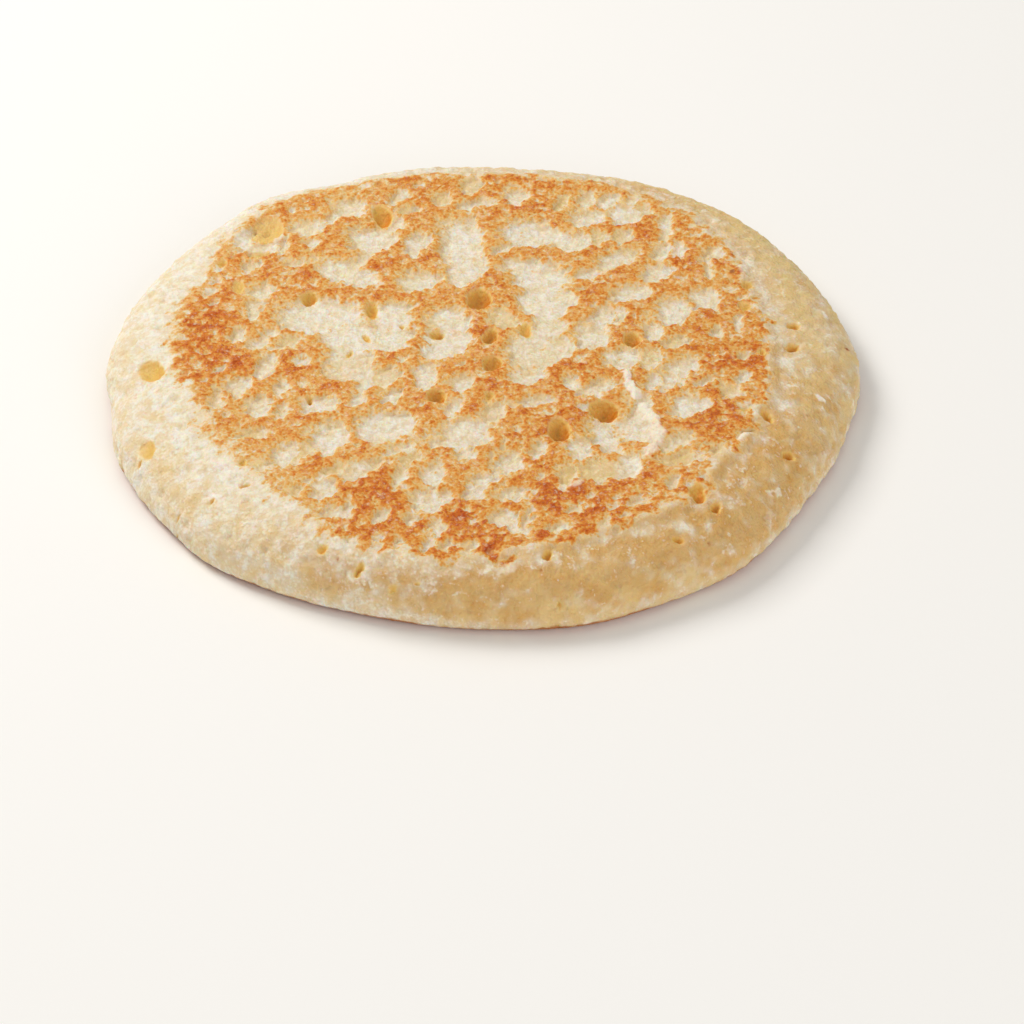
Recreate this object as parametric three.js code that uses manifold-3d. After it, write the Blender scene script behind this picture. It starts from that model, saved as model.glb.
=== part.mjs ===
// A thick griddle pancake, lying on the side that was cooked first.
// Millimetres, +Z up, origin on the table under the middle of the pancake, -Y towards the diner.
// The batter spread into an uneven round: a flat browned face on top, a step down from it to a
// pale shoulder, a side that swells out to a lip low down, and a flat browned underside.
import * as THREE from "three";
import { mergeVertices } from "three/addons/utils/BufferGeometryUtils.js";
import Module from "manifold-3d";

// Driving dimensions, mm
const WIDTH = 110; // across X
const DEPTH = 102; // across Y
const THICKNESS = 10; // table to the browned face
const FACE_WIDTH = 85; // the browned face across X
const FACE_DEPTH = 88; // and across Y
const FACE_SHIFT_X = -1.5; // the middle of the face from the middle of the pancake
const FACE_WAVE = 0.35; // how far the face rises and falls in slow waves
const STEP_WIDTH = 2.2; // the slope from the face down to the shoulder
const STEP_DROP = 0.35; // how far it drops where it is faintest
const LIP_HEIGHT = 2.0; // height of the widest line round the side
const LIP_TUCK = 2.2; // how far the side tucks in under the lip to meet the table
const SIDE_FULLNESS = 0.85; // 1 for an elliptical side, less for a fuller one

// Mesh fineness
const SEGMENTS = 104; // round the pancake
const FACE_ROWS = 12; // from the middle to the edge of the browned face
const SIDE_ROWS = 12; // from the edge of the face to the lip
const TUCK_ROWS = 4; // from the lip to the table
const BASE_ROWS = 3; // from the table edge to the middle of the underside
const PIT_SEGMENTS = 12;
const PIT_ROWS = 8;

// Where the batter ran out further or fell short round the outline:
// [direction in degrees from +X, half width in degrees, distance out in mm]
const OUTLINE_SWELLS = [
  [10, 12, 0.4],
  [24, 6, 0.4],
  [48, 15, 2.3],
  [68, 9, 0.9],
  [100, 15, 1.1],
  [128, 6, 2.2],
  [147, 14, 1.4],
  [168, 9, 0.6],
  [176, 4, 0.5],
  [183, 6, -0.8],
  [208, 9, -0.3],
  [222, 6, 0.4],
  [250, 13, -0.8],
  [286, 8, 0.7],
  [335, 14, -2.6],
  [354, 7, -0.9],
];

// The same for the edge of the browned face
const FACE_SWELLS = [
  [50, 18, 2.6],
  [72, 10, 0.8],
  [112, 12, 1.2],
  [135, 11, 4.0],
  [170, 10, 1.0],
  [211, 22, -2.6],
  [252, 12, 1.8],
  [292, 8, -1.0],
  [307, 8, 0.8],
  [323, 7, -0.6],
];

// Where the step from the face is deeper: [direction, half width, extra drop in mm]
const DEEPER_STEPS = [
  [352, 30, 0.7],
  [298, 22, 0.6],
  [78, 30, 0.2],
];

// Broad soft dents where steam held the batter off the griddle: [x, y, radius, depth]
const DENTS = [
  [-24, 9.5, 8, 0.5],
  [-17, 28, 5, 0.4],
  [-4, 27, 6, 0.5],
  [8, 29, 6, 0.4],
  [8, 17, 7, 0.4],
  [-6, 3, 6, 0.35],
  [7, 0, 6, 0.35],
  [-14.5, -16.5, 5.5, 0.4],
  [-22.5, -19, 4.5, 0.3],
  [3.3, -24, 4, 0.3],
  [19, -17, 8.5, 1.0],
];

// Burst bubbles that stayed open: [x, y, half width, half length, turn in degrees, depth]
const PITS = [
  [-32.6, 30.6, 2.2, 3.3, -15, 2.4],
  [-33.6, 25.3, 2.2, 1.3, 0, 1.5],
  [-15.3, 34, 1.4, 2.8, 10, 2.4],
  [-26, 14.2, 1.2, 1.5, -20, 1.1],
  [-16.5, 11, 1.0, 2.0, 0, 1.0],
  [-0.8, 13.2, 1.8, 2.6, 0, 3.0],
  [0.7, 4, 1.0, 1.9, -10, 1.9],
  [1.1, -2.5, 1.3, 1.8, 0, 2.0],
  [6, 5.6, 1.0, 1.5, 0, 1.0],
  [-7, 5.2, 1.2, 0.8, 0, 1.0],
  [-7, -9.8, 1.3, 1.8, 10, 2.4],
  [21.4, 3.2, 1.1, 1.9, 10, 1.8],
  [10.5, -17.8, 1.7, 2.8, 5, 3.2],
  [16.9, -13.3, 2.1, 2.8, -25, 4.0],
  [29.8, -30.6, 1.1, 1.8, 0, 2.2],
  [-47.7, -3.2, 1.9, 2.4, 0, 2.4],
  [-47.3, -21, 1.1, 1.4, 0, 0.9],
  [44.4, 1.0, 0.9, 1.1, 0, 1.2],
];

const radians = THREE.MathUtils.degToRad;
const FULL_TURN = 2 * Math.PI;

// A smooth swell round a direction: 1 at its middle, half at its half width, 0 at twice that
function swell(angle, middle, halfWidth) {
  const apart = THREE.MathUtils.euclideanModulo(angle - radians(middle) + Math.PI, FULL_TURN);
  const share = Math.abs(apart - Math.PI) / (2 * radians(halfWidth));
  return share < 1 ? Math.cos((share * Math.PI) / 2) ** 2 : 0;
}

function swellSum(angle, swells) {
  return swells.reduce((sum, [middle, halfWidth, size]) => sum + size * swell(angle, middle, halfWidth), 0);
}

// How far the edge of an ellipse lies from its middle, in a direction
function ellipseRadius(angle, width, depth) {
  return 1 / Math.hypot((2 * Math.cos(angle)) / width, (2 * Math.sin(angle)) / depth);
}

function outlineRadius(angle) {
  return ellipseRadius(angle, WIDTH, DEPTH) + swellSum(angle, OUTLINE_SWELLS);
}

function faceRadius(angle) {
  const shift = FACE_SHIFT_X * Math.cos(angle);
  return ellipseRadius(angle, FACE_WIDTH, FACE_DEPTH) + shift + swellSum(angle, FACE_SWELLS);
}

// The browned face is nearly flat, with slow waves and the soft dents
function faceHeight(x, y) {
  const wave = (Math.sin(x / 13 + 1.1) * Math.cos(y / 17 - 0.4) + 0.5 * Math.sin((x - y) / 9)) / 1.5;
  const dents = DENTS.reduce((sum, [dentX, dentY, radius, depth]) => {
    const share = Math.hypot(x - dentX, y - dentY) / radius;
    return share < 1 ? sum + depth * (1 - share * share) ** 2 : sum;
  }, 0);
  return THICKNESS + FACE_WAVE * wave - dents;
}

// Each kind of row gives the radius and the height of its points in a direction
const faceRow = (share) => (angle) => {
  const radius = faceRadius(angle) * share;
  return [radius, faceHeight(radius * Math.cos(angle), radius * Math.sin(angle))];
};

const sideRow = (share) => (angle) => {
  const turn = (share * Math.PI) / 2;
  const inner = faceRadius(angle);
  const radius = inner + (outlineRadius(angle) - inner) * Math.sin(turn);
  const edge = faceHeight(inner * Math.cos(angle), inner * Math.sin(angle));
  const step = THREE.MathUtils.smoothstep(radius - inner, 0, STEP_WIDTH);
  const top = edge - step * (STEP_DROP + swellSum(angle, DEEPER_STEPS));
  return [radius, LIP_HEIGHT + (top - LIP_HEIGHT) * Math.cos(turn) ** SIDE_FULLNESS];
};

const tuckRow = (share) => (angle) => {
  const turn = (share * Math.PI) / 2;
  return [outlineRadius(angle) - LIP_TUCK * (1 - Math.cos(turn)), LIP_HEIGHT * (1 - Math.sin(turn))];
};

const baseRow = (share) => (angle) => [(outlineRadius(angle) - LIP_TUCK) * (1 - share), 0];

function rowsOf(count, row) {
  return Array.from({ length: count }, (_, k) => row((k + 1) / count));
}

// From the middle of the browned face, over the side, to the middle of the underside
const rows = [
  faceRow(0),
  ...rowsOf(FACE_ROWS, faceRow),
  ...rowsOf(SIDE_ROWS, sideRow),
  ...rowsOf(TUCK_ROWS, tuckRow),
  ...rowsOf(BASE_ROWS, baseRow),
];

// A sphere lends its rows and columns, and each of its points then takes its own place
function batterGeometry() {
  const geometry = new THREE.SphereGeometry(1, SEGMENTS, rows.length - 1);
  const points = geometry.getAttribute("position");
  for (let k = 0; k < points.count; k++) {
    const row = rows[Math.floor(k / (SEGMENTS + 1))];
    const column = (k % (SEGMENTS + 1)) % SEGMENTS;
    const angle = (FULL_TURN * column) / SEGMENTS;
    const [radius, height] = row(angle);
    points.setXYZ(k, radius * Math.cos(angle), radius * Math.sin(angle), height);
  }
  return geometry;
}

// The height of the skin at a place on the face or the side
function skinHeight(x, y) {
  const angle = Math.atan2(y, x);
  const radius = Math.hypot(x, y);
  const inner = faceRadius(angle);
  if (radius <= inner) return faceHeight(x, y);
  const reach = Math.min(1, (radius - inner) / (outlineRadius(angle) - inner));
  return sideRow((2 * Math.asin(reach)) / Math.PI)(angle)[1];
}

function pitGeometry([x, y, halfWidth, halfLength, turn, depth]) {
  const geometry = new THREE.SphereGeometry(1, PIT_SEGMENTS, PIT_ROWS);
  geometry.rotateX(Math.PI / 2);
  geometry.scale(halfWidth, halfLength, depth);
  geometry.rotateZ(radians(turn));
  return geometry.translate(x, y, skinHeight(x, y));
}

const wasm = await Module();
wasm.setup();

function solidOf(geometry) {
  geometry.deleteAttribute("normal");
  geometry.deleteAttribute("uv");
  const merged = mergeVertices(geometry, 1e-3);
  const mesh = new wasm.Mesh({
    numProp: 3,
    vertProperties: new Float32Array(merged.getAttribute("position").array),
    triVerts: new Uint32Array(merged.getIndex().array),
  });
  return new wasm.Manifold(mesh);
}

function geometryOf(solid) {
  const mesh = solid.getMesh();
  const geometry = new THREE.BufferGeometry();
  geometry.setAttribute("position", new THREE.BufferAttribute(mesh.vertProperties, 3));
  geometry.setIndex(new THREE.BufferAttribute(mesh.triVerts, 1));
  return geometry;
}

// Puts the origin under the middle of the outline
function centred(geometry) {
  geometry.computeBoundingBox();
  const middle = geometry.boundingBox.getCenter(new THREE.Vector3());
  return geometry.translate(-middle.x, -middle.y, -geometry.boundingBox.min.z);
}

const openBubbles = PITS.map((pit) => solidOf(pitGeometry(pit)));
const pitted = openBubbles.reduce((batter, bubble) => batter.subtract(bubble), solidOf(batterGeometry()));

const crumb = new THREE.MeshStandardMaterial({ color: 0xdeb27d, roughness: 0.7, metalness: 0 });
const pancake = new THREE.Mesh(centred(geometryOf(pitted)), crumb);
pancake.name = "pancake";

const part = new THREE.Group();
part.add(pancake);

export default part;
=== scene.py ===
# %% [markdown]
# # A griddle pancake
# A pancake is a puddle of batter that set while it was hot. What the eye reads on a real one is
# the order it was cooked in: bubbles rose and burst on the upper side, then it was turned, and
# only the highest parts of that bubbled side touched the griddle and browned. So the brown lace
# on top is a map of its relief. This lesson builds that relief first, as real geometry, and
# then colours it from the same numbers.

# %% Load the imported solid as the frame
import math
import bmesh
import bpy
import numpy as np
from mathutils import Matrix, Vector, noise


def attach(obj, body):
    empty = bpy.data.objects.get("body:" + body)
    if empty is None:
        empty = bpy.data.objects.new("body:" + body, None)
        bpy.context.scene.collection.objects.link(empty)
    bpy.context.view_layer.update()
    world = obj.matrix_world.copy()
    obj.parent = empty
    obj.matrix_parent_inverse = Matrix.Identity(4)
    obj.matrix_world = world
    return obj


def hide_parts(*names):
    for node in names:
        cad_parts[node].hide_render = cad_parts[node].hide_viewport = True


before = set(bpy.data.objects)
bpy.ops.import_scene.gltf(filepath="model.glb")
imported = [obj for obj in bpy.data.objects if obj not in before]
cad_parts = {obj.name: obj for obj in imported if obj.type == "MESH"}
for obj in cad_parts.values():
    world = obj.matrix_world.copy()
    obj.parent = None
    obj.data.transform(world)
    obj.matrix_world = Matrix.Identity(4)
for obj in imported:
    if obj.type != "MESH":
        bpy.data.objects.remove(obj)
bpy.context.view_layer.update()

# %% [markdown]
# The camera comes first, because all that follows is judged through it. Pancakes on a table
# are seen by someone sitting down: 38 degrees above the table and from far enough away that the
# round shape is hardly stretched. A long lens at 0.7 m does that.

# %% Camera
MM = 0.001  # every size in this lesson is in millimetres until it is put into the mesh
CAMERA_RISE = math.radians(38)
CAMERA_DISTANCE = 700
CAMERA_LENS = 169
SENSOR_WIDTH = 36
CLIP_START = 0.01  # in metres
PANCAKE_MIDDLE = Vector((0, 0, 5))
LOOKED_AT = Vector((4.1, 0, 5))  # a little right of the middle of the pancake
LOOKED_BELOW = 19.5  # the view also takes in the table in front of it


def make_camera():
    data = bpy.data.cameras.new("table_view")
    data.lens = CAMERA_LENS
    data.sensor_width = SENSOR_WIDTH
    data.clip_start = CLIP_START
    camera = bpy.data.objects.new("table_view", data)
    back = Vector((0, -math.cos(CAMERA_RISE), math.sin(CAMERA_RISE)))
    upward = Vector((0, math.sin(CAMERA_RISE), math.cos(CAMERA_RISE)))
    camera.location = (PANCAKE_MIDDLE + back * CAMERA_DISTANCE) * MM
    aim = (LOOKED_AT - upward * LOOKED_BELOW) * MM
    camera.rotation_euler = (aim - camera.location).to_track_quat("-Z", "Y").to_euler()
    bpy.context.collection.objects.link(camera)
    bpy.context.scene.camera = camera
    return camera


camera = make_camera()
print("camera stands at, mm:", [round(v / MM) for v in camera.location])

# %% [markdown]
# The batter ran out into an uneven round. Its outline is a plain ellipse with a list of swells,
# each with a direction, a width and a size: one place where the batter ran further or fell
# short. The browned face is a second outline of the same kind inside the first.

# %% Outline of the pancake and of its browned face
WIDTH = 110
DEPTH = 102
THICKNESS = 10
FACE_WIDTH = 85
FACE_DEPTH = 88
FACE_SHIFT_X = -1.5
FACE_WAVE = 0.35  # height of the slow waves in the face
STEP_WIDTH = 2.2
STEP_DROP = 0.35  # how far the side starts below the face
LIP_HEIGHT = 2.0  # height of the widest place
LIP_TUCK = 2.2  # how far the side turns in below it
SIDE_FULLNESS = 0.85  # under 1 for a shoulder fuller than an ellipse

# direction from +X and half width in degrees, distance out
OUTLINE_SWELLS = [
    (10, 12, 0.4), (24, 6, 0.4), (48, 15, 2.3), (68, 9, 0.9), (100, 15, 1.1), (128, 6, 2.2),
    (147, 14, 1.4), (168, 9, 0.6), (176, 4, 0.5), (183, 6, -0.8), (208, 9, -0.3), (222, 6, 0.4),
    (250, 13, -0.8), (286, 8, 0.7), (335, 14, -2.6), (354, 7, -0.9),
]
FACE_SWELLS = [
    (50, 18, 2.6), (72, 10, 0.8), (112, 12, 1.2), (135, 11, 4), (170, 10, 1), (211, 22, -2.6),
    (252, 12, 1.8), (292, 8, -1), (307, 8, 0.8), (323, 7, -0.6),
]
# where the step down from the face is deeper
DEEPER_STEPS = [(352, 30, 0.45), (298, 22, 0.45), (78, 30, 0.2)]
# broad soft dents in the face: x, y, radius, depth
DENTS = [
    (-24, 9.5, 8, 0.5), (-17, 28, 5, 0.4), (-4, 27, 6, 0.5), (8, 29, 6, 0.4), (8, 17, 7, 0.4),
    (-6, 3, 6, 0.35), (7, 0, 6, 0.35), (-14.5, -16.5, 5.5, 0.4), (-22.5, -19, 4.5, 0.3),
    (3.3, -24, 4, 0.3), (19, -17, 8.5, 1),
]


def smooth(low, high, values):
    """0 below low, 1 above high, and a smooth rise between them."""
    share = np.clip((values - low) / (high - low), 0, 1)
    return share * share * (3 - 2 * share)


def swell_sum(angle, swells):
    """Adds up rounded swells, each at a direction, over the turn round the middle."""
    total = np.zeros_like(angle)
    for middle, half_width, size in swells:
        apart = np.abs((angle - math.radians(middle) + math.pi) % (2 * math.pi) - math.pi)
        share = np.clip(apart / (2 * math.radians(half_width)), 0, 1)
        total += size * np.cos(share * math.pi / 2) ** 2
    return total


def ellipse_radius(angle, width, depth):
    return 1 / np.hypot(2 * np.cos(angle) / width, 2 * np.sin(angle) / depth)


def outline_radius(angle):
    return ellipse_radius(angle, WIDTH, DEPTH) + swell_sum(angle, OUTLINE_SWELLS)


def face_radius(angle):
    shift = FACE_SHIFT_X * np.cos(angle)
    return ellipse_radius(angle, FACE_WIDTH, FACE_DEPTH) + shift + swell_sum(angle, FACE_SWELLS)


def face_height(x, y):
    """Height of the face: slow waves, less the soft dents."""
    wave = (np.sin(x / 13 + 1.1) * np.cos(y / 17 - 0.4) + 0.5 * np.sin((x - y) / 9)) / 1.5
    height = THICKNESS + FACE_WAVE * wave
    for dent_x, dent_y, radius, depth in DENTS:
        share = np.clip(np.hypot(x - dent_x, y - dent_y) / radius, 0, 1)
        height -= depth * (1 - share ** 2) ** 2
    return height


turn_round = np.linspace(-math.pi, math.pi, 721)
print("outline from", outline_radius(turn_round).min().round(1), "to",
      outline_radius(turn_round).max().round(1), "mm from the middle")

# %% [markdown]
# The body needs small, even triangles on top, where the relief is, and may be coarse below. A
# spun profile would crowd them at the middle. A six-sided disc, cut evenly, does better: its
# ring number k has 6 k points, so the spacing is the same all over. A fine disc becomes the
# face and the side, a coarse one the underside, and bridging their rims closes the body.

# %% Two discs cut from hexagons, bridged at the rim
FACE_RINGS = 130
SIDE_RINGS = 38
TUCK_RINGS = 8
TOP_RINGS = FACE_RINGS + SIDE_RINGS + TUCK_RINGS
UNDER_RINGS = TOP_RINGS // 4
UNDER_SHARE = 0.98  # size of the lower disc beside the upper one while both are flat
FLAT_GAP = 0.1  # how far apart they are then


def add_hexagon(bm, rings, radius, height):
    """A flat hexagon cut into 6 x rings x rings even triangles."""
    older = set(bm.verts)
    place = Matrix.Translation((0, 0, height)) @ Matrix.Rotation(math.pi / 6, 4, "Z")
    bmesh.ops.create_circle(bm, cap_ends=True, cap_tris=True, segments=6, radius=radius,
                            matrix=place)
    corners = {v for v in bm.verts if v not in older}
    edges = [e for e in bm.edges if e.verts[0] in corners and e.verts[1] in corners]
    bmesh.ops.subdivide_edges(bm, edges=edges, cuts=rings - 1, use_grid_fill=True)


bm = bmesh.new()
add_hexagon(bm, TOP_RINGS, 1.0, 0.0)
add_hexagon(bm, UNDER_RINGS, UNDER_SHARE, -FLAT_GAP)
bmesh.ops.bridge_loops(bm, edges=[e for e in bm.edges if e.is_boundary])
bmesh.ops.recalc_face_normals(bm, faces=bm.faces)
print(len(bm.faces), "triangles, closed:", all(e.is_manifold for e in bm.edges))

# %% [markdown]
# Each point of the flat hexagons has a ring and a place along it. That gives a direction and a
# share of the way from the middle to the rim, and the pancake's profile turns those into a
# place: out across the face, down the step, over the shoulder to the lip, and tucked in under it.

# %% Wrap the discs into the shape of the pancake
UNDER_INSET = 0.5  # how much smaller the flat underside is than the tucked-in edge


def ring_and_angle(point):
    """Which ring of the hexagon a point is on, from 0 to 1, and its even share of the turn."""
    if point.length < 1e-9:
        return 0.0, 0.0
    direct = math.atan2(point.y, point.x) % (2 * math.pi)
    sixth = math.pi / 3
    sector = min(int(direct / sixth), 5)
    start = Vector((math.cos(sector * sixth), math.sin(sector * sixth)))
    end = Vector((math.cos((sector + 1) * sixth), math.sin((sector + 1) * sixth)))
    # the point is ring * (start + along * (end - start))
    cross = start.x * end.y - start.y * end.x
    part_start = (point.x * end.y - point.y * end.x) / cross
    part_end = (start.x * point.y - start.y * point.x) / cross
    ring = part_start + part_end
    return ring, (sector + part_end / ring) * sixth


def profile_place(angle, ring):
    """Radius and height of points of the upper disc, from their ring, 0 to 1."""
    steps = ring * TOP_RINGS
    inner = face_radius(angle)
    outer = outline_radius(angle)
    on_face = np.minimum(steps / FACE_RINGS, 1)
    side_turn = np.clip((steps - FACE_RINGS) / SIDE_RINGS, 0, 1) * math.pi / 2
    tuck_turn = np.clip((steps - FACE_RINGS - SIDE_RINGS) / TUCK_RINGS, 0, 1) * math.pi / 2
    radius = inner * on_face + (outer - inner) * np.sin(side_turn)
    radius -= LIP_TUCK * (1 - np.cos(tuck_turn))
    face_x = inner * on_face * np.cos(angle)
    face_y = inner * on_face * np.sin(angle)
    step = smooth(0, STEP_WIDTH, radius - inner)
    step[steps > FACE_RINGS + SIDE_RINGS] = 1
    top = face_height(face_x, face_y) - step * (STEP_DROP + swell_sum(angle, DEEPER_STEPS))
    height = LIP_HEIGHT + (top - LIP_HEIGHT) * np.cos(side_turn) ** SIDE_FULLNESS
    tucked = steps > FACE_RINGS + SIDE_RINGS
    height[tucked] = (LIP_HEIGHT * (1 - np.sin(tuck_turn)))[tucked]
    return radius, height


bm.verts.ensure_lookup_table()
bm.verts.index_update()
is_under = np.array([v.co.z < -FLAT_GAP / 2 for v in bm.verts])
disc_sizes = np.where(is_under, UNDER_SHARE, 1).tolist()
polar = np.array([ring_and_angle(v.co.xy / size) for v, size in zip(bm.verts, disc_sizes)])
ring, angle = polar[:, 0], polar[:, 1]
radius, height = profile_place(angle, ring)
under_edge = outline_radius(angle) - LIP_TUCK - UNDER_INSET
radius[is_under] = (ring * under_edge)[is_under]
height[is_under] = 0
base = np.stack([radius * np.cos(angle), radius * np.sin(angle), height], 1)
print("base shape spans, mm:", (base.max(0) - base.min(0)).round(1))

# %% [markdown]
# Nothing on a pancake is regular, so every edge drawn below is shaken by noise: smooth random
# lumps of a chosen size. One function serves lumps of 16 mm and grains of just under 1 mm, and
# a seed makes each use different but the same on every run.

# %% Lumps of noise
SEED_SHIFT = Vector((7.31, 3.17, 5.53))  # each seed reads the noise somewhere else
NOISE_STEP = 1.6  # noise units from one lump to the next
NOISE_GAIN = 1.6  # the plain noise seldom leaves -0.6 to 0.6


def lumps(points, size, seed):
    """Smooth noise of about -1 to 1 at each point, its lumps about `size` mm across."""
    shift = SEED_SHIFT * seed
    scale = NOISE_STEP / size
    return np.array([noise.noise(Vector(p) * scale + shift) for p in points.tolist()]) * NOISE_GAIN


def gaussian(distance, width):
    return np.exp(-(distance / width) ** 2)


on_top = np.flatnonzero(~is_under)
top = base[on_top]
x, y, z = top.T
top_angle = angle[on_top]
sample = lumps(top[:4000], 3, 1)
print("noise runs from", sample.min().round(2), "to", sample.max().round(2))

# %% [markdown]
# The lace isn't the same in every direction, because its walls were drawn out as the batter ran.
# Noise read at stretched places gives strands instead of lumps. They run one way on the left and
# the near side, and another on the far right.

# %% Strands in the lace
STRAND_STRETCH = 0.45  # strands are a bit more than twice as long as wide
STRAND_WIDTH = 1.5
LEFT_TURN = 40  # direction of the strands, in degrees
RIGHT_TURN = -20


def strands(points, size, turn, seed):
    c, s = math.cos(math.radians(turn)), math.sin(math.radians(turn))
    along = points[:, 0] * c + points[:, 1] * s
    across = points[:, 1] * c - points[:, 0] * s
    return lumps(np.stack([along * STRAND_STRETCH, across, points[:, 2] * 0], 1), size, seed)


def rightward(px, py):
    """0 on the left and the near side, 1 on the far right."""
    return smooth(-10, 20, px + py / 2)


to_right = rightward(x, y)
lace_strands = ((1 - to_right) * strands(top, STRAND_WIDTH, LEFT_TURN, 23)
                + to_right * strands(top, STRAND_WIDTH, RIGHT_TURN, 24))
print(round(100 * np.mean(to_right < 0.5)), "% of the strands run at", LEFT_TURN, "degrees")
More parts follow.
